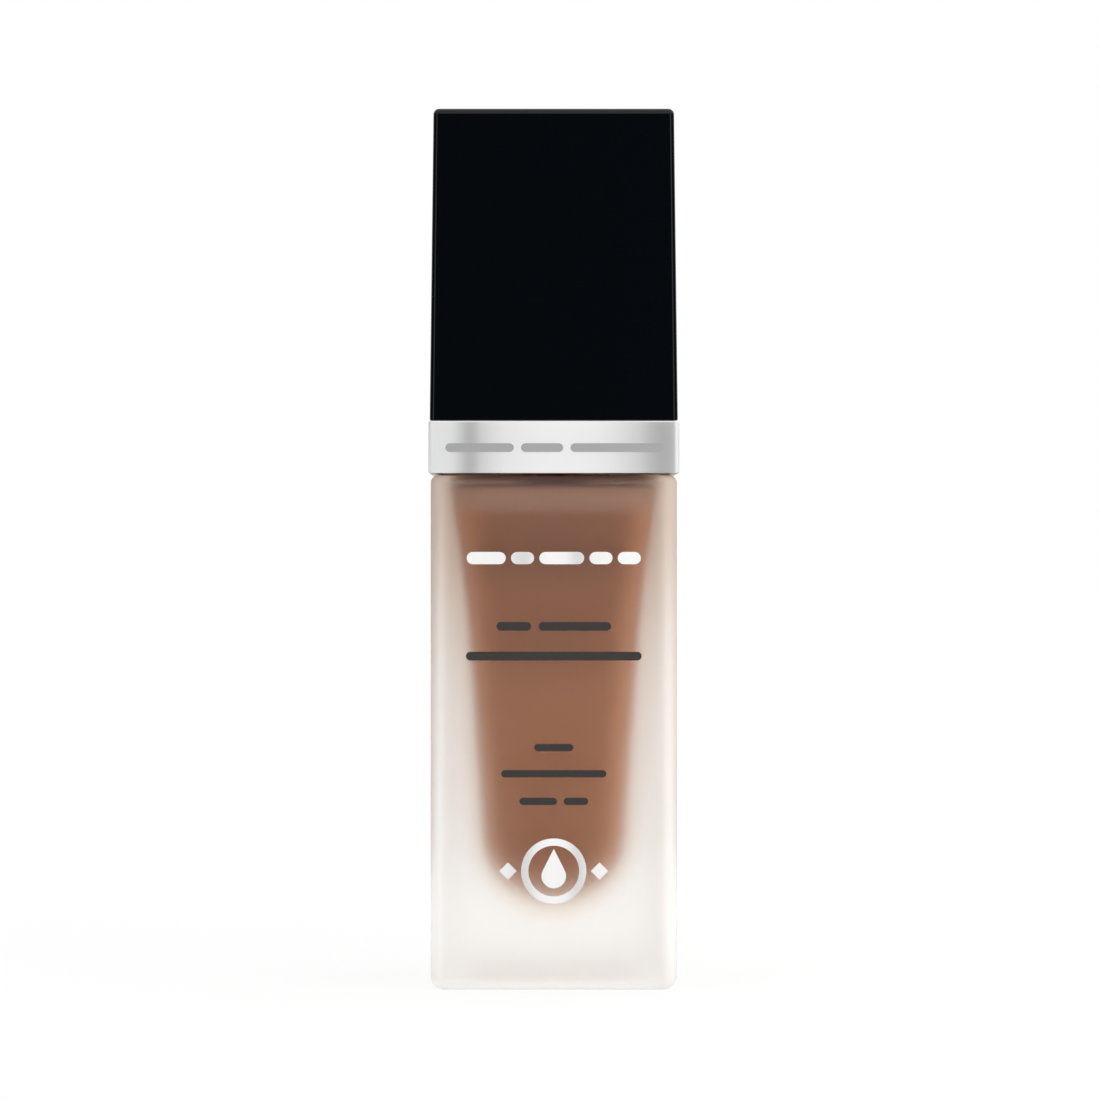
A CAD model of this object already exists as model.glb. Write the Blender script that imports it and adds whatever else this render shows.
import math

import bmesh
import bpy
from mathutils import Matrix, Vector


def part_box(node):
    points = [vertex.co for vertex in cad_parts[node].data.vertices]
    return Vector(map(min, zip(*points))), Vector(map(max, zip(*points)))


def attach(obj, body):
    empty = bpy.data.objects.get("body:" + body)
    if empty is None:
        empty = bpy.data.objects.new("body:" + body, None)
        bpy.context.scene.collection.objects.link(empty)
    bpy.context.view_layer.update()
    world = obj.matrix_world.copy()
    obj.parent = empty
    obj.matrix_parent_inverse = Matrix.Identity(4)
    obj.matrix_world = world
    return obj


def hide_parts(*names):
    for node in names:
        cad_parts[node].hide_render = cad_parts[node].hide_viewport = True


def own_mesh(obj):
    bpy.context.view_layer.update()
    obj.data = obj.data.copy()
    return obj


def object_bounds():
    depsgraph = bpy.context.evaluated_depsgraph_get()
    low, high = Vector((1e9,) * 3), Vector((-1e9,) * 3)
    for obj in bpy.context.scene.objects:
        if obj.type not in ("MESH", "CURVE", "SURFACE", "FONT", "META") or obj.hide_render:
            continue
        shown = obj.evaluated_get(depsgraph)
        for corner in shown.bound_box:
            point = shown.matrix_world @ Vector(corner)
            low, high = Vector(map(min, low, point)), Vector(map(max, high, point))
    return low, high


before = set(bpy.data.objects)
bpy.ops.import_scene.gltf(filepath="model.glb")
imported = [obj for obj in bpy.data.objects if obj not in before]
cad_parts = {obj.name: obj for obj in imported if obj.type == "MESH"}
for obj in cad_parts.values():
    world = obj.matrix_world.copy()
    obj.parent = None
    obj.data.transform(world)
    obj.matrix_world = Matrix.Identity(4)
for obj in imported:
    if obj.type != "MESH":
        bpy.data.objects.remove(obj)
cad_lo, cad_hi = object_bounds()
MM = 0.001

# ---- places, from the frame ----

glass_lo, glass_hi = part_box("bottle")
band_lo, band_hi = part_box("silver_band")
cap_lo, cap_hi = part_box("overcap_shell")
head_lo, head_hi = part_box("head_shell")

HALF = glass_hi.x                     # half width of the glass body
NECK_TOP = glass_hi.z
SHOULDER = NECK_TOP - 8.2 * MM        # flat top of the glass body
BAND_HALF = band_hi.x
CAP_HALF = cap_hi.x                   # at the cap's mouth, which is its widest place

# the hollow of the bottle: a rounded foot, slightly tapered walls, and a flat ceiling under the shoulder
BASE_THICK = 11.4 * MM
FOOT_Z = BASE_THICK + 9.6 * MM
WAIST_Z = 52.5 * MM
CEILING_Z = SHOULDER - 1.2 * MM
CEILING_EDGE = 0.8 * MM
FLARE_Z = CEILING_Z - CEILING_EDGE
FOOT_HALF = HALF - 6.9 * MM
WAIST_HALF = HALF - 4.7 * MM
FLARE_HALF = HALF - 2.8 * MM


# ---- mesh helpers ----

def rounded_square(half, r, steps=10, along=12):
    """Points round a square with rounded corners, anticlockwise from the +X side.

    Each flat has points too, evenly spaced in bearing, so that a ring can be joined to a circle.
    """
    points = []
    for corner in range(4):
        turn = math.radians(90 * corner + 45)
        centre = (half - r) * math.sqrt(2)
        for i in range(steps + 1):
            a = math.radians(90 * corner + 90 * i / steps)
            x = centre * math.cos(turn) + r * math.cos(a)
            y = centre * math.sin(turn) + r * math.sin(a)
            points.append((x, y))
        middle = math.radians(90 * corner + 90)
        reach = math.atan2(half - r, half)
        for i in range(1, along + 1):
            out, side = half, half * math.tan(reach * (2 * i / (along + 1) - 1))
            x = out * math.cos(middle) - side * math.sin(middle)
            y = out * math.sin(middle) + side * math.cos(middle)
            points.append((x, y))
    return points


def circle(r, n):
    return [(r * math.cos(2 * math.pi * i / n), r * math.sin(2 * math.pi * i / n)) for i in range(n)]


def matched_circle(r, square):
    """A circle with a point for each point of a rounded square, at the same bearing."""
    return [(r * math.cos(a), r * math.sin(a)) for a in (math.atan2(y, x) for x, y in square)]


def loft(bm, rings, cap_first=True, cap_last=True):
    """Walls through a stack of rings with equal numbers of points. Each ring is (z, points)."""
    rows = [[bm.verts.new((x, y, z)) for x, y in points] for z, points in rings]
    n = len(rows[0])
    for low, high in zip(rows, rows[1:]):
        for i in range(n):
            bm.faces.new((low[i], low[(i + 1) % n], high[(i + 1) % n], high[i]))
    if cap_first:
        bm.faces.new(list(reversed(rows[0])))
    if cap_last:
        bm.faces.new(rows[-1])
    return rows


def lathe(bm, profile, n=96):
    """Turns a closed outline of (radius, height) round Z. Points on the axis become one vertex."""
    rings = []
    for r, z in profile:
        if r == 0:
            rings.append([bm.verts.new((0, 0, z))] * n)
        else:
            rings.append([bm.verts.new((x, y, z)) for x, y in circle(r, n)])
    for low, high in zip(rings, rings[1:] + rings[:1]):
        for i in range(n):
            corners = []
            for vertex in (low[i], low[(i + 1) % n], high[(i + 1) % n], high[i]):
                if vertex not in corners:
                    corners.append(vertex)
            if len(corners) > 2:
                bm.faces.new(corners)


def arc(r, z, radius, start, end, steps=6):
    """Points of an outline's rounded corner, with its centre at (r, z) and its angles in degrees."""
    angles = (math.radians(start + (end - start) * i / steps) for i in range(steps + 1))
    return [(r + radius * math.cos(a), z + radius * math.sin(a)) for a in angles]


def edge_rings(z, half, corner_r, edge_r, up=1, steps=8):
    """Rings round the lower edge of a block, or, with up=-1, round its upper edge."""
    least_r = 0.2 * MM
    rings = []
    for i in range(steps + 1):
        a = math.radians(90 * (i if up > 0 else steps - i) / steps)
        inset = edge_r * (1 - math.sin(a))
        ring = rounded_square(half - inset, max(corner_r - inset, least_r))
        rings.append((z + up * edge_r * (1 - math.cos(a)), ring))
    return rings


def finish_mesh(name, bm, sharp_angle=35):
    """Turns a bmesh into an object with outward normals, smooth but for its sharp edges."""
    bmesh.ops.remove_doubles(bm, verts=bm.verts, dist=1e-7)
    bmesh.ops.recalc_face_normals(bm, faces=bm.faces)
    mesh = bpy.data.meshes.new(name)
    bm.to_mesh(mesh)
    bm.free()
    for polygon in mesh.polygons:
        polygon.use_smooth = True
    mesh.set_sharp_from_angle(angle=math.radians(sharp_angle))
    obj = bpy.data.objects.new(name, mesh)
    bpy.context.scene.collection.objects.link(obj)
    return obj


def place(obj, body, slot, *nodes, material=None):
    """Puts a piece on its body and slot, in the place of the CAD nodes named."""
    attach(obj, body)
    if nodes:
        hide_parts(*nodes)
    if material:
        obj.data.materials.clear()
        obj.data.materials.append(material)
    return obj


# ---- materials ----

def new_material(name):
    material = bpy.data.materials.new(name)
    material.use_nodes = True
    tree = material.node_tree
    tree.nodes.clear()
    out = tree.nodes.new("ShaderNodeOutputMaterial")
    shader = tree.nodes.new("ShaderNodeBsdfPrincipled")
    tree.links.new(shader.outputs["BSDF"], out.inputs["Surface"])
    return material, tree, shader


def noise(tree, scale, detail=3.0, roughness=0.55, stretch=(1, 1, 1)):
    coord = tree.nodes.new("ShaderNodeTexCoord")
    mapping = tree.nodes.new("ShaderNodeMapping")
    mapping.inputs["Scale"].default_value = stretch
    texture = tree.nodes.new("ShaderNodeTexNoise")
    texture.inputs["Scale"].default_value = scale
    texture.inputs["Detail"].default_value = detail
    texture.inputs["Roughness"].default_value = roughness
    tree.links.new(coord.outputs["Object"], mapping.inputs["Vector"])
    tree.links.new(mapping.outputs["Vector"], texture.inputs["Vector"])
    return texture


def ramp(tree, source, stops):
    """Colour ramp from [(position, colour), ...]."""
    node = tree.nodes.new("ShaderNodeValToRGB")
    elements = node.color_ramp.elements
    while len(elements) < len(stops):
        elements.new(0.5)
    for element, (position, colour) in zip(elements, stops):
        element.position = position
        element.color = (*colour, 1)
    tree.links.new(source, node.inputs["Fac"])
    return node


def grey_range(tree, source, low, high):
    """Maps 0..1 to low..high."""
    node = tree.nodes.new("ShaderNodeMapRange")
    node.inputs["To Min"].default_value = low
    node.inputs["To Max"].default_value = high
    tree.links.new(source, node.inputs["Value"])
    return node.outputs["Result"]


def bump(tree, shader, source, strength, distance):
    node = tree.nodes.new("ShaderNodeBump")
    node.inputs["Strength"].default_value = strength
    node.inputs["Distance"].default_value = distance
    tree.links.new(source, node.inputs["Height"])
    tree.links.new(node.outputs["Normal"], shader.inputs["Normal"])
    return node


def math_node(tree, operation, *values):
    node = tree.nodes.new("ShaderNodeMath")
    node.operation = operation
    for socket, value in zip(node.inputs, values):
        if isinstance(value, (int, float)):
            socket.default_value = value
        else:
            tree.links.new(value, socket)
    return node.outputs[0]


def object_axis(tree, axis):
    """A coordinate of the point that is shaded, in metres in the row frame."""
    coord = tree.nodes.new("ShaderNodeTexCoord")
    split = tree.nodes.new("ShaderNodeSeparateXYZ")
    tree.links.new(coord.outputs["Object"], split.inputs["Vector"])
    return split.outputs[axis]


def span(tree, source, low, high):
    """0 below low, 1 above high, smooth between."""
    node = tree.nodes.new("ShaderNodeMapRange")
    node.interpolation_type = "SMOOTHSTEP"
    node.inputs["From Min"].default_value = low
    node.inputs["From Max"].default_value = high
    tree.links.new(source, node.inputs["Value"])
    return node.outputs["Result"]


def mix_colour(tree, factor, a, b, blend="MIX"):
    node = tree.nodes.new("ShaderNodeMix")
    node.data_type = "RGBA"
    node.blend_type = blend
    for socket, value in ((node.inputs[0], factor), (node.inputs[6], a), (node.inputs[7], b)):
        if isinstance(value, (int, float)):
            socket.default_value = value
        elif isinstance(value, tuple):
            socket.default_value = (*value, 1)
        else:
            tree.links.new(value, socket)
    return node.outputs[2]


def along_face(tree):
    """How far along its side of a block a point is, from the side's middle.

    As each side is looked at from outside, it rises from left to right on the front and the back and falls on
    the other two, so that it runs on round each corner.
    """
    x, y = object_axis(tree, 0), object_axis(tree, 1)
    far_x, far_y = math_node(tree, "ABSOLUTE", x), math_node(tree, "ABSOLUTE", y)
    nearer = math_node(tree, "MINIMUM", far_x, far_y)
    signs = math_node(tree, "MULTIPLY", math_node(tree, "SIGN", x), math_node(tree, "SIGN", y))
    return math_node(tree, "MULTIPLY", nearer, math_node(tree, "MULTIPLY", signs, -1.0))


def corner_closeness(tree, start, end):
    """0 on the flat sides of a square block, 1 at its upright corners."""
    near = math_node(tree, "MINIMUM", math_node(tree, "ABSOLUTE", object_axis(tree, 0)),
        math_node(tree, "ABSOLUTE", object_axis(tree, 1)))
    return span(tree, near, start, end)


def liquid_reach(tree):
    """How far out a point on a side is against the liquid behind it: 0 in its middle, 1 over its outline."""
    height = object_axis(tree, 2)
    half = math_node(tree, "MULTIPLY_ADD", height, (FLARE_HALF - FOOT_HALF) / (FLARE_Z - FOOT_Z),
        FOOT_HALF - FOOT_Z * (FLARE_HALF - FOOT_HALF) / (FLARE_Z - FOOT_Z))
    sideways = math_node(tree, "DIVIDE", math_node(tree, "ABSOLUTE", along_face(tree)), half)
    down = math_node(tree, "MAXIMUM", 0.0, math_node(tree, "MULTIPLY_ADD", height, -1 / (FOOT_Z - BASE_THICK),
        FOOT_Z / (FOOT_Z - BASE_THICK)))
    squares = math_node(tree, "ADD", math_node(tree, "MULTIPLY", sideways, sideways),
        math_node(tree, "MULTIPLY", down, down))
    return math_node(tree, "SQRT", squares)


def frosted_glass():
    """Etched glass, whitest on the upright corners, with the liquid's shadow under the shoulder."""
    material, tree, shader = new_material("frosted_glass")
    shader.distribution = "MULTI_GGX"
    across = math_node(tree, "ABSOLUTE", along_face(tree))
    inner = math_node(tree, "SUBTRACT", 1.0, span(tree, across, FLARE_HALF - 2.5 * MM, FLARE_HALF + 0.5 * MM))
    height = object_axis(tree, 2)
    under = span(tree, height, CEILING_Z - 0.3 * MM, CEILING_Z + 0.4 * MM)
    # the thinner wall further up takes on the liquid's colour
    thick_wall, thin_wall = (0.995, 0.985, 0.96), (0.88, 0.79, 0.715)
    clear = mix_colour(tree, span(tree, height, 38 * MM, 68 * MM), thick_wall, thin_wall)
    # light that leaks round the liquid's outline is warm
    reach = liquid_reach(tree)
    halo = math_node(tree, "MULTIPLY", span(tree, reach, 0.78, 0.98),
        math_node(tree, "SUBTRACT", 1.0, span(tree, reach, 1.0, 1.3)))
    no_tint, peach, brown = (1, 1, 1), (0.99, 0.94, 0.875), (0.78, 0.42, 0.28)
    tinted = mix_colour(tree, 1.0, clear, mix_colour(tree, halo, no_tint, peach), "MULTIPLY")
    shadow = mix_colour(tree, math_node(tree, "MULTIPLY", inner, under), tinted, brown)
    tree.links.new(shadow, shader.inputs["Base Color"])
    shader.inputs["IOR"].default_value = 1.5
    corner = corner_closeness(tree, HALF - 3.2 * MM, HALF - 0.8 * MM)
    foot_white = 0.8
    above_foot = span(tree, height, 0.2 * MM, 5 * MM)
    foot = math_node(tree, "SUBTRACT", foot_white, math_node(tree, "MULTIPLY", above_foot, foot_white))
    white = math_node(tree, "MAXIMUM", corner, foot)
    tree.links.new(grey_range(tree, white, 0.98, 0.56), shader.inputs["Transmission Weight"])
    etch = noise(tree, 900, 2)
    tree.links.new(grey_range(tree, etch.outputs["Fac"], 0.56, 0.64), shader.inputs["Roughness"])
    bump(tree, shader, etch.outputs["Fac"], 0.15, 0.02 * MM)
    return material


def clear_glass():
    material, tree, shader = new_material("hollow_glass")
    shader.inputs["Base Color"].default_value = (0.99, 0.985, 0.975, 1)
    shader.inputs["Transmission Weight"].default_value = 1.0
    shader.inputs["IOR"].default_value = 1.5
    waves = noise(tree, 120, 2)
    tree.links.new(grey_range(tree, waves.outputs["Fac"], 0.02, 0.06), shader.inputs["Roughness"])
    return material


def liquid_foundation():
    """Full colour up to the fill line, and a paler film of product on the glass above it."""
    material, tree, shader = new_material("liquid_foundation")
    swirl = noise(tree, 60, 3, stretch=(1, 1, 0.5))
    brown, dark_brown = [(0.3, (0.29, 0.079, 0.004)), (0.7, (0.32, 0.09, 0.007))], (0.245, 0.066, 0.002)
    light_brown, orange = (0.43, 0.155, 0.035), (0.72, 0.31, 0.1)
    film_brown, ceiling_brown = (0.37, 0.2, 0.13), (0.06, 0.024, 0.012)
    body = ramp(tree, swirl.outputs["Fac"], brown)
    height = object_axis(tree, 2)
    deep = mix_colour(tree, span(tree, height, 44 * MM, 64 * MM), body.outputs["Color"], dark_brown)
    # thinner against the corners of the hollow, so it looks lighter there
    reach = liquid_reach(tree)
    thin = mix_colour(tree, span(tree, reach, 0.6, 0.95), deep, light_brown)
    warm = mix_colour(tree, span(tree, reach, 0.88, 1.02), thin, orange)
    film = span(tree, height, FLARE_Z - 4.2 * MM, FLARE_Z - 1.6 * MM)
    pale = mix_colour(tree, film, warm, film_brown)
    shade = span(tree, height, CEILING_Z - 0.6 * MM, CEILING_Z)
    tree.links.new(mix_colour(tree, shade, pale, ceiling_brown), shader.inputs["Base Color"])
    shader.inputs["Roughness"].default_value = 0.35
    return material


def gloss_black():
    material, tree, shader = new_material("gloss_black")
    shader.inputs["Base Color"].default_value = (0.0006, 0.0014, 0.0024, 1)
    shader.inputs["IOR"].default_value = 1.4
    film = noise(tree, 45, 3)
    tree.links.new(grey_range(tree, film.outputs["Fac"], 0.04, 0.08), shader.inputs["Roughness"])
    orange_peel = noise(tree, 260, 2)
    bump(tree, shader, orange_peel.outputs["Fac"], 0.05, 0.02 * MM)
    return material


def satin_black():
    material, tree, shader = new_material("satin_black")
    shader.inputs["Base Color"].default_value = (0.006, 0.006, 0.007, 1)
    shader.inputs["Specular IOR Level"].default_value = 0.35
    grain = noise(tree, 1400, 2)
    tree.links.new(grey_range(tree, grain.outputs["Fac"], 0.32, 0.5), shader.inputs["Roughness"])
    bump(tree, shader, grain.outputs["Fac"], 0.2, 0.02 * MM)
    return material


def natural_plastic(name, colour, roughness, clear):
    material, tree, shader = new_material(name)
    shader.inputs["Base Color"].default_value = (*colour, 1)
    shader.inputs["Transmission Weight"].default_value = clear
    grain = noise(tree, 700, 2)
    low, high = roughness
    tree.links.new(grey_range(tree, grain.outputs["Fac"], low, high), shader.inputs["Roughness"])
    bump(tree, shader, grain.outputs["Fac"], 0.15, 0.02 * MM)
    return material


def steel():
    material, tree, shader = new_material("bright_steel")
    shader.inputs["Base Color"].default_value = (0.62, 0.61, 0.6, 1)
    shader.inputs["Metallic"].default_value = 1.0
    drawn = noise(tree, 300, 3, stretch=(1, 1, 8))
    tree.links.new(grey_range(tree, drawn.outputs["Fac"], 0.14, 0.3), shader.inputs["Roughness"])
    return material


def metallised(name, colour, metal, roughness, streaks, half, top):
    """Bright metallised skin with soft upright streaks across each side, and none on a face at height top.

    Each streak is (share of the side's width, brightness).
    """
    material, tree, shader = new_material(name)
    share = tree.nodes.new("ShaderNodeMapRange")
    share.inputs["From Min"].default_value = -half
    share.inputs["From Max"].default_value = half
    tree.links.new(along_face(tree), share.inputs["Value"])
    shades = ramp(tree, share.outputs["Result"], [(at, (value,) * 3) for at, value in streaks])
    shades.color_ramp.interpolation = "B_SPLINE"
    flat_grey = (0.92, 0.92, 0.92)
    flat = span(tree, object_axis(tree, 2), top - 0.3 * MM, top - 0.02 * MM)
    sides = mix_colour(tree, flat, shades.outputs["Color"], flat_grey)
    tinted = mix_colour(tree, 1.0, sides, colour, "MULTIPLY")
    tree.links.new(tinted, shader.inputs["Base Color"])
    shader.inputs["Metallic"].default_value = metal
    haze = noise(tree, 500, 3)
    low, high = roughness
    tree.links.new(grey_range(tree, haze.outputs["Fac"], low, high), shader.inputs["Roughness"])
    return material


def ink(name, colour):
    material, tree, shader = new_material(name)
    shader.inputs["Base Color"].default_value = (*colour, 1)
    screen = noise(tree, 1800, 2)
    tree.links.new(grey_range(tree, screen.outputs["Fac"], 0.4, 0.6), shader.inputs["Roughness"])
    bump(tree, shader, screen.outputs["Fac"], 0.1, 0.01 * MM)
    return material


GLASS = frosted_glass()
HOLLOW_GLASS = clear_glass()
LIQUID = liquid_foundation()
GLOSS_BLACK = gloss_black()
SATIN_BLACK = satin_black()
NATURAL = natural_plastic("natural_polypropylene", (0.82, 0.83, 0.8), (0.3, 0.45), 0.25)
TUBE = natural_plastic("tube_polyethylene", (0.85, 0.86, 0.84), (0.2, 0.32), 0.6)
FOAM = natural_plastic("gasket_foam", (0.8, 0.8, 0.77), (0.7, 0.9), 0.0)
STEEL = steel()
BAND_STREAKS = [(0.0, 0.9), (0.08, 0.9), (0.12, 0.76), (0.165, 0.43), (0.21, 0.73), (0.3, 0.93), (0.5, 1.0),
    (0.7, 0.95), (0.84, 0.7), (0.92, 0.44), (0.96, 0.5), (0.98, 0.54), (0.99, 0.9), (1.0, 1.0)]
FOIL_STREAKS = [(0.0, 1.0), (0.3, 1.0), (0.38, 0.62), (0.44, 1.0), (0.55, 1.0), (0.6, 0.62), (0.66, 1.0),
    (1.0, 1.0)]
SILVER = metallised("metallised_silver", (0.985, 0.99, 1.0), 0.4, (0.36, 0.44), BAND_STREAKS, BAND_HALF,
    band_hi.z)
FOIL = metallised("stamped_foil", (0.99, 0.99, 0.99), 0.25, (0.3, 0.4), FOIL_STREAKS, HALF, band_hi.z)
DARK_INK = ink("dark_ink", (0.032, 0.026, 0.026))
GREY_INK = ink("grey_ink", (0.33, 0.335, 0.34))


# ---- glass bottle and liquid ----

def hollow_half(z):
    """Half width of the hollow at height z, above its foot."""
    if z < WAIST_Z:
        return FOOT_HALF + (WAIST_HALF - FOOT_HALF) * (z - FOOT_Z) / (WAIST_Z - FOOT_Z)
    return WAIST_HALF + (FLARE_HALF - WAIST_HALF) * (z - WAIST_Z) / (FLARE_Z - WAIST_Z)


def hollow_rings(grow):
    """Rings of the hollow from its foot to its ceiling, grown outwards by grow."""
    corner_r = 4.5 * MM
    rings = []
    foot_steps = 16
    for i in range(1, foot_steps + 1):
        a = math.radians(90 * i / foot_steps)
        z = FOOT_Z - (FOOT_Z - BASE_THICK + grow) * math.cos(a)
        half = (FOOT_HALF + grow) * math.sin(a)
        rings.append((z, rounded_square(half, min(corner_r, half * 0.95))))
    rises = 12
    for i in range(1, rises):
        z = FOOT_Z + i * (FLARE_Z - FOOT_Z) / rises
        rings.append((z, rounded_square(hollow_half(z) + grow, corner_r)))
    edge_steps = 8
    for i in range(edge_steps + 1):
        a = math.radians(90 * i / edge_steps)
        z = FLARE_Z + (CEILING_Z + grow - FLARE_Z) * math.sin(a)
        inset = CEILING_EDGE * (1 - math.cos(a))
        rings.append((z, rounded_square(FLARE_HALF + grow - inset, corner_r - inset)))
    return rings


def make_bottle():
    """Body, neck and hollow in one loft, with the recess of the base as a second."""
    bm = bmesh.new()
    body_r, base_r, shoulder_r = 2.0 * MM, 1.9 * MM, 1.0 * MM
    outer = edge_rings(0, HALF, body_r, base_r) + edge_rings(SHOULDER, HALF, body_r, shoulder_r, up=-1)
    neck_r, bead_r, bead_z = 7.7 * MM, 9.0 * MM, NECK_TOP - 4.0 * MM
    neck = [(SHOULDER, neck_r + 0.6 * MM), (SHOULDER + 0.6 * MM, neck_r), (bead_z - 0.5 * MM, neck_r),
        (bead_z, bead_r), (NECK_TOP - 0.7 * MM, bead_r), (NECK_TOP, bead_r - 0.7 * MM)]
    outer += [(z, matched_circle(r, outer[0][1])) for z, r in neck]
    bore_r = 4.9 * MM
    bore = matched_circle(bore_r, outer[0][1])
    inner = [(NECK_TOP, bore), (CEILING_Z, bore)]
    inner += list(reversed(hollow_rings(0)))
    loft(bm, outer + inner, cap_first=False)
    # base: the ring that it stands on, then the push-up, as (height, half width, corner radius) in mm
    push_up = ((0, 12.6, 3), (0.15, 12.4, 2.9), (0.5, 12.0, 2.7), (0.72, 11.5, 2.4), (0.8, 10.8, 2.2))
    recess = [outer[0]] + [(z * MM, rounded_square(half * MM, r * MM)) for z, half, r in push_up]
    loft(bm, list(reversed(recess)), cap_last=False)
    obj = finish_mesh("glass_bottle", bm, 50)
    obj.data.materials.append(GLASS)
    obj.data.materials.append(HOLLOW_GLASS)
    slack = 0.1 * MM
    for polygon in obj.data.polygons:
        x, y, z = polygon.center
        within = max(abs(x), abs(y)) < FLARE_HALF + 2 * slack
        inside = within and BASE_THICK - slack < z < CEILING_Z + slack
        polygon.material_index = 1 if inside else 0
    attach(obj, "root")
    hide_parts("bottle")
    return obj


def make_liquid():
    """The skin wets the glass, so it lies just outside the hollow's wall. The pump has a bore in it."""
    bm = bmesh.new()
    skin = hollow_rings(0.03 * MM)
    top, square = skin[-1]
    housing_lo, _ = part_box("pump_housing")
    tube_lo, tube_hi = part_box("dip_tube")
    gap = 0.05 * MM
    barrel_r, spigot_r, tube_r = 4.5 * MM + gap, 2.7 * MM + gap, tube_hi.x + gap
    barrel_foot = housing_lo.z + 8.4 * MM
    levels = [(top, barrel_r), (barrel_foot, barrel_r), (barrel_foot - 1.1 * MM, spigot_r),
        (housing_lo.z - gap, spigot_r), (housing_lo.z - gap, tube_r), (tube_lo.z - gap, tube_r)]
    loft(bm, skin + [(z, matched_circle(r, square)) for z, r in levels])
    obj = finish_mesh("liquid", bm, 60)
    return place(obj, "root", "liquid_foundation", "foundation", material=LIQUID)


make_bottle()
make_liquid()


# ---- collar band ----

def make_band():
    bm = bmesh.new()
    r, edge = 0.8 * MM, 0.15 * MM
    lower = edge_rings(band_lo.z, BAND_HALF, r, edge, steps=4)
    upper = edge_rings(band_hi.z, BAND_HALF, r, edge, up=-1, steps=4)
    inner_half = BAND_HALF - 1.1 * MM
    hole_r = 11.95 * MM
    hole = matched_circle(hole_r, lower[0][1])
    plate_z = band_hi.z - 1.2 * MM
    inside = [(band_hi.z, hole), (plate_z, hole), (plate_z, rounded_square(inner_half, r)),
        (band_lo.z, rounded_square(inner_half, r)), lower[0]]
    loft(bm, lower + upper + inside, cap_first=False, cap_last=False)
    obj = finish_mesh("silver_collar_band", bm, 30)
    return place(obj, "root", "metallised_plastic", "silver_band", material=SILVER)


make_band()


# ---- overcap ----

def make_cap():
    bm = bmesh.new()
    draft, wall, roof = 0.5 * MM, 1.9 * MM, 2.0 * MM
    edge_r, top_edge_r, inner_r, lip = 0.8 * MM, 0.8 * MM, 0.6 * MM, 0.05 * MM
    top_half = CAP_HALF - draft
    outer = [(cap_lo.z, rounded_square(CAP_HALF - lip, edge_r - lip)),
        (cap_lo.z + lip, rounded_square(CAP_HALF - 0.002 * MM, edge_r))]
    levels = 6
    for i in range(1, levels):
        share = i / levels
        outer.append((cap_lo.z + (cap_hi.z - top_edge_r - cap_lo.z) * share,
            rounded_square(CAP_HALF - draft * share, edge_r)))
    outer += edge_rings(cap_hi.z, top_half, edge_r, top_edge_r, up=-1)
    inner = [(cap_hi.z - roof, rounded_square(top_half - wall, inner_r)),
        (cap_lo.z, rounded_square(CAP_HALF - wall, inner_r))]
    rows = loft(bm, outer, cap_first=False)
    hollow_rows = loft(bm, inner, cap_last=False)
    n = len(rows[0])
    for i in range(n):
        bm.faces.new((rows[0][i], hollow_rows[-1][i], hollow_rows[-1][(i + 1) % n], rows[0][(i + 1) % n]))
    obj = finish_mesh("cap_shell", bm, 40)
    return place(obj, "overcap", "black_gloss", "overcap_shell", material=GLOSS_BLACK)


make_cap()


# ---- collar tower and pump head ----

def make_tower():
    lo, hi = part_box("collar_tower")
    bore_r, flange_r, seat_r, tower_r, lip_r = 10.6 * MM, hi.x, 12.8 * MM, 11.9 * MM, 8.0 * MM
    seat_z, ridge_z, top = band_hi.z - 1.2 * MM, hi.z - 4.0 * MM, hi.z
    ridge = 0.1 * MM
    profile = [(bore_r, lo.z), (flange_r, lo.z), (flange_r, lo.z + 1.0 * MM), (seat_r, lo.z + 1.0 * MM),
        (seat_r, seat_z), (tower_r, seat_z), (tower_r, ridge_z - 0.5 * MM)]
    profile += [(tower_r + ridge * (1 + math.cos(a)) / 2, ridge_z + 0.5 * MM * a / math.pi)
        for a in (math.radians(-180 + 45 * i) for i in range(1, 8))]
    profile += [(tower_r, ridge_z + 0.5 * MM)]
    profile += arc(tower_r - 0.8 * MM, top - 0.8 * MM, 0.8 * MM, 0, 90, 8)
    profile += arc(lip_r + 0.4 * MM, top - 0.4 * MM, 0.4 * MM, 90, 180)
    profile += [(lip_r, top - 1.4 * MM), (bore_r, top - 2.2 * MM)]
    bm = bmesh.new()
    lathe(bm, profile)
    obj = finish_mesh("tower", bm, 40)
    return place(obj, "root", "black_plastic", "collar_tower", material=SATIN_BLACK)


def make_pump_head():
    """Actuator with a dished top for the finger."""
    r, top, foot = head_hi.x, head_hi.z, head_lo.z
    wall, roof, edge = 0.8 * MM, 2.4 * MM, 1.1 * MM
    dish_r, dish_depth = 22 * MM, 0.9 * MM
    lip_r = math.sqrt(dish_r ** 2 - (dish_r - dish_depth) ** 2) - 0.15 * MM
    steps = 14
    dish = [(lip_r * i / steps, top + dish_r - dish_depth - math.sqrt(dish_r ** 2 - (lip_r * i / steps) ** 2))
        for i in range(steps, -1, -1)]
    profile = [(r - wall, foot)] + arc(r - 0.2 * MM, foot + 0.2 * MM, 0.2 * MM, -90, 0, 3)
    profile += arc(r - edge, top - edge, edge, 0, 90, 10) + dish
    profile += [(0, top - roof), (r - wall, top - roof)]
    bm = bmesh.new()
    lathe(bm, profile)
    obj = finish_mesh("pump_head_shell", bm, 40)
    return place(obj, "pump_head", "black_gloss", "head_shell", material=GLOSS_BLACK)


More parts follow.
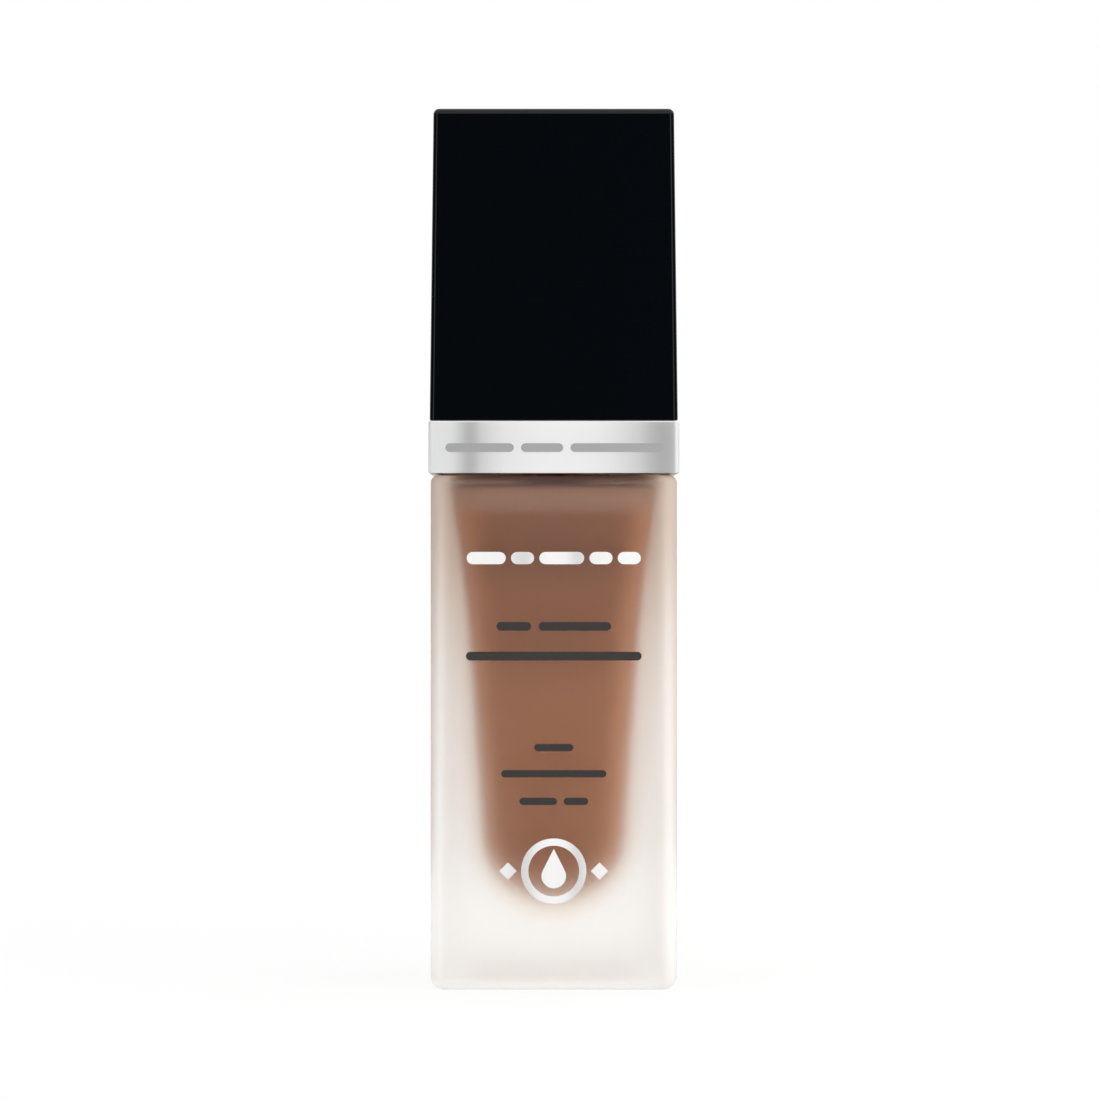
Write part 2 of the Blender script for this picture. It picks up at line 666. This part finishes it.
def make_nozzle():
    """Short spout that points to the front, with a flange against the head's wall."""
    lo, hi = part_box("nozzle")
    axis_z, reach = (lo.z + hi.z) / 2, -lo.y
    flange_r, shank_r, bore_r, tip_r = hi.x, 2.15 * MM, 0.9 * MM, 1.75 * MM
    foot, wall = -hi.y, head_hi.x
    flange_front = wall + 0.6 * MM
    profile = [(bore_r, foot), (shank_r, foot), (shank_r, wall - 0.7 * MM), (flange_r, wall - 0.6 * MM)]
    profile += arc(flange_r - 0.15 * MM, flange_front - 0.15 * MM, 0.15 * MM, 0, 90, 3)
    profile += arc(shank_r + 0.3 * MM, flange_front + 0.3 * MM, 0.3 * MM, -90, -180, 4)
    profile += arc(tip_r - 0.4 * MM, reach - 0.4 * MM, 0.4 * MM, 10, 90, 5)
    profile += arc(bore_r + 0.15 * MM, reach - 0.15 * MM, 0.15 * MM, 90, 180, 3)
    bm = bmesh.new()
    lathe(bm, profile, 64)
    for vertex in bm.verts:
        x, y, distance = vertex.co
        vertex.co = (x, -distance, axis_z + y)
    obj = finish_mesh("spout", bm, 40)
    return place(obj, "pump_head", "black_gloss", "nozzle", material=GLOSS_BLACK)


def make_spring():
    """Coil spring with a closed turn at each end. It shortens as the head is pressed."""
    lo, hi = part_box("return_spring")
    wire_r, turns, per_turn, sides = 0.3 * MM, 7, 36, 12
    coil_r = hi.x - wire_r
    closed = 2 * wire_r
    pitch = (hi.z - lo.z - 4 * wire_r - closed) / (turns - 2)
    rings = []
    bm = bmesh.new()
    for k in range(turns * per_turn + 1):
        t = k / per_turn
        rise = closed * (min(t, 1) + max(t - turns + 1, 0)) + pitch * min(max(t - 1, 0), turns - 2)
        a = 2 * math.pi * t
        ring = []
        for x, z in circle(wire_r, sides):
            r = coil_r + x
            ring.append(bm.verts.new((r * math.cos(a), r * math.sin(a), lo.z + wire_r + rise + z)))
        rings.append(ring)
    for near, far in zip(rings, rings[1:]):
        for i in range(sides):
            bm.faces.new((near[i], far[i], far[(i + 1) % sides], near[(i + 1) % sides]))
    bm.faces.new(rings[0])
    bm.faces.new(list(reversed(rings[-1])))
    obj = finish_mesh("spring_coil", bm, 60)
    place(obj, "root", "stainless_steel", "return_spring", material=STEEL)
    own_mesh(obj)
    return obj


make_tower()
make_pump_head()
make_nozzle()
make_spring()


# ---- CAD nodes that keep their own meshes ----

KEPT = {
    "foil_print": FOIL, "ink_print": DARK_INK, "band_print": GREY_INK, "neck_gasket": FOAM,
    "pump_housing": NATURAL, "inlet_ball": STEEL, "dip_tube": TUBE,
    "poppet": NATURAL, "piston": NATURAL, "stem": SATIN_BLACK, "stem_guide": NATURAL,
    "snap_closure": SATIN_BLACK, "head_core": SATIN_BLACK, "overcap_liner": SATIN_BLACK,
}
for node, material in KEPT.items():
    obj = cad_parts[node]
    obj.data.materials.clear()
    obj.data.materials.append(material)
    for polygon in obj.data.polygons:
        polygon.use_smooth = True
    obj.data.set_sharp_from_angle(angle=math.radians(32))


# ---- studio ----

def make_floor():
    """A pale disc that glows like the tent and takes soft shadows. Reflections see less of its glow."""
    bm = bmesh.new()
    n = 96
    rows = []
    for r in (0.001, 0.05, 0.2, 1.0, 6.0):
        rows.append([bm.verts.new((x, y, 0)) for x, y in circle(r, n)])
    for inner, outer in zip(rows, rows[1:]):
        for i in range(n):
            bm.faces.new((inner[i], inner[(i + 1) % n], outer[(i + 1) % n], outer[i]))
    bm.faces.new(rows[0])
    obj = finish_mesh("floor", bm)
    material = bpy.data.materials.new("pale_floor")
    material.use_nodes = True
    tree = material.node_tree
    tree.nodes.clear()
    out = tree.nodes.new("ShaderNodeOutputMaterial")
    glow = tree.nodes.new("ShaderNodeEmission")
    path = tree.nodes.new("ShaderNodeLightPath")
    through = math_node(tree, "SUBTRACT", 1.0, path.outputs["Is Transmission Ray"])
    mirrored = math_node(tree, "MULTIPLY", path.outputs["Is Glossy Ray"], through)
    glow_strength, mirror_loss = 0.86, 0.5
    strength = math_node(tree, "MULTIPLY_ADD", mirrored, -mirror_loss, glow_strength)
    tree.links.new(strength, glow.inputs["Strength"])
    matt = tree.nodes.new("ShaderNodeBsdfDiffuse")
    matt.inputs["Color"].default_value = (0.14, 0.14, 0.14, 1)
    both = tree.nodes.new("ShaderNodeAddShader")
    tree.links.new(glow.outputs[0], both.inputs[0])
    tree.links.new(matt.outputs[0], both.inputs[1])
    tree.links.new(both.outputs[0], out.inputs["Surface"])
    obj.data.materials.append(material)


def make_world():
    """A white tent. Reflections also see black flags at the height of the horizon, square on to each side."""
    world = bpy.data.worlds.new("tent")
    bpy.context.scene.world = world
    world.use_nodes = True
    tree = world.node_tree
    tree.nodes.clear()
    out = tree.nodes.new("ShaderNodeOutputWorld")
    background = tree.nodes.new("ShaderNodeBackground")
    background.inputs["Color"].default_value = (1, 1, 1, 1)
    coord = tree.nodes.new("ShaderNodeTexCoord")
    split = tree.nodes.new("ShaderNodeSeparateXYZ")
    tree.links.new(coord.outputs["Generated"], split.inputs["Vector"])

    x, y, z = split.outputs
    xx, yy = math_node(tree, "MULTIPLY", x, x), math_node(tree, "MULTIPLY", y, y)
    spread = math_node(tree, "ADD", xx, yy)
    # 1 straight in front of a side of the object, 0 on a diagonal
    lean = math_node(tree, "ABSOLUTE", math_node(tree, "SUBTRACT", xx, yy))
    square_on = math_node(tree, "DIVIDE", lean, spread)
    dark = span(tree, square_on, 0.25, 0.55)
    # the flags fade in and out between these elevations
    foot_start, foot_end, top_start, top_end = (math.sin(math.radians(a)) for a in (-7, 1, 13, 24))
    above = span(tree, z, foot_start, foot_end)
    below = math_node(tree, "SUBTRACT", 1.0, span(tree, z, top_start, top_end))
    flag = math_node(tree, "MULTIPLY", dark, math_node(tree, "MULTIPLY", above, below))
    path = tree.nodes.new("ShaderNodeLightPath")
    through = math_node(tree, "SUBTRACT", 1.0, path.outputs["Is Transmission Ray"])
    glossy = math_node(tree, "MULTIPLY", path.outputs["Is Glossy Ray"], through)
    shade = math_node(tree, "MULTIPLY", flag, glossy)
    belt = math_node(tree, "MULTIPLY_ADD", shade, -0.95, 1.0)
    # the tent is a little brighter on the right, but it looks evenly white to the camera
    unseen = math_node(tree, "SUBTRACT", 1.0, path.outputs["Is Camera Ray"])
    lit = math_node(tree, "MULTIPLY_ADD", unseen, math_node(tree, "MULTIPLY", x, 0.12), 1.0)
    strength = math_node(tree, "MULTIPLY", belt, lit)
    tree.links.new(strength, background.inputs["Strength"])
    tree.links.new(background.outputs[0], out.inputs["Surface"])


def make_key_light():
    """A softbox at the right of the object, just out of the picture."""
    data = bpy.data.lights.new("key", "AREA")
    data.shape = "RECTANGLE"
    data.size, data.size_y = 0.1, 0.2
    data.energy = 0.1
    data.color = (1.0, 0.96, 0.9)
    obj = bpy.data.objects.new("key", data)
    bpy.context.scene.collection.objects.link(obj)
    obj.location = (0.13, -0.1, 0.08)
    aim = Vector((0, 0, 0.05)) - obj.location
    obj.rotation_euler = aim.to_track_quat("-Z", "Y").to_euler()
    obj.visible_camera = False
    obj.visible_glossy = False


def make_camera():
    """A long lens at the height of the object's middle, straight in front."""
    data = bpy.data.cameras.new("camera")
    data.lens = 135
    data.sensor_width = 36
    obj = bpy.data.objects.new("camera", data)
    bpy.context.scene.collection.objects.link(obj)
    bpy.context.scene.camera = obj
    height = cad_hi.z - cad_lo.z
    share = 0.8033       # of the picture that the object's height fills
    field = height / share
    distance = field / (data.sensor_width / data.lens)
    left, below = 0.52 * MM, 0.09 * MM       # of the object's middle
    obj.location = (-left, cad_lo.y - distance, (cad_hi.z + cad_lo.z) / 2 - below)
    obj.rotation_euler = (math.radians(90), 0, 0)
    data.clip_start, data.clip_end = 0.01, 50


make_floor()
make_world()
make_key_light()
make_camera()
bpy.context.scene.view_settings.view_transform = "Standard"
bpy.context.scene.cycles.use_denoising = True
